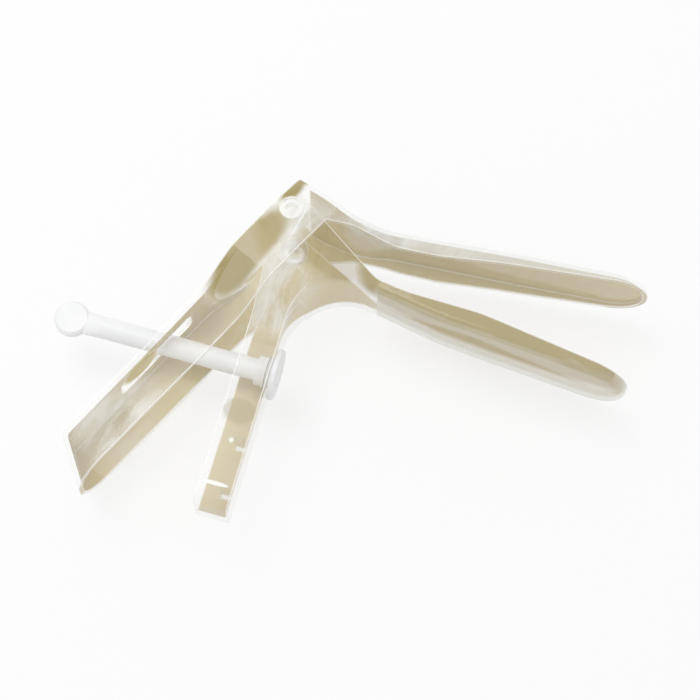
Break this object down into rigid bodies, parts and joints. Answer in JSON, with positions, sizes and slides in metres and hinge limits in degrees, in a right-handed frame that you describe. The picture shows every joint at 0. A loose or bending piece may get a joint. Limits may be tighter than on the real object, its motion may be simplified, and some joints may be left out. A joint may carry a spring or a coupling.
{
  "type": "bivalve vaginal speculum",
  "caption": "Clear plastic duckbill speculum with hinged blades, a trough handle that takes the narrow handle, and a white centre screw with a captive nut.",
  "frame": {"origin": "foot of the hinge axis on the table that the object lies on, at the outer end of the lower hinge pin", "axes": "+Z along the hinge axis, up from the table; +X from the hinge towards the blade tips; +Y from the handles' ends towards the hinge"},
  "size_m": [0.2083, 0.1156, 0.048],
  "materials": {
    "upper_valve": "clear moulded polystyrene",
    "lower_valve": "clear moulded polystyrene",
    "screw": "white moulded plastic",
    "nut": "white moulded plastic"
  },
  "bodies": {
    "lower": {"lower_valve": "lower_valve"},
    "upper": {"upper_valve": "upper_valve"},
    "screw": {"screw": "screw"},
    "nut": {"nut": "nut"}
  },
  "joints": [
    {"name": "valve_hinge", "type": "hinge", "parent": "lower", "child": "upper", "pos_m": [0, 0, 0.024], "axis": [0, 0, 1], "range_deg": [-15, 24.5]},
    {"name": "screw_travel", "type": "slide", "parent": "lower", "child": "screw", "axis": [0.9613, -0.2756, 0], "range_m": [0, 0.044]},
    {"name": "nut_spin", "type": "hinge", "parent": "lower", "child": "nut", "pos_m": [-0.01453, -0.05066, 0.024], "axis": [0.9613, -0.2756, 0], "range_deg": [-7925, 0]}
  ],
  "couplings": [
    {"joint": "nut_spin", "follows": "screw_travel", "rad_per_m": -3141.6}
  ]
}
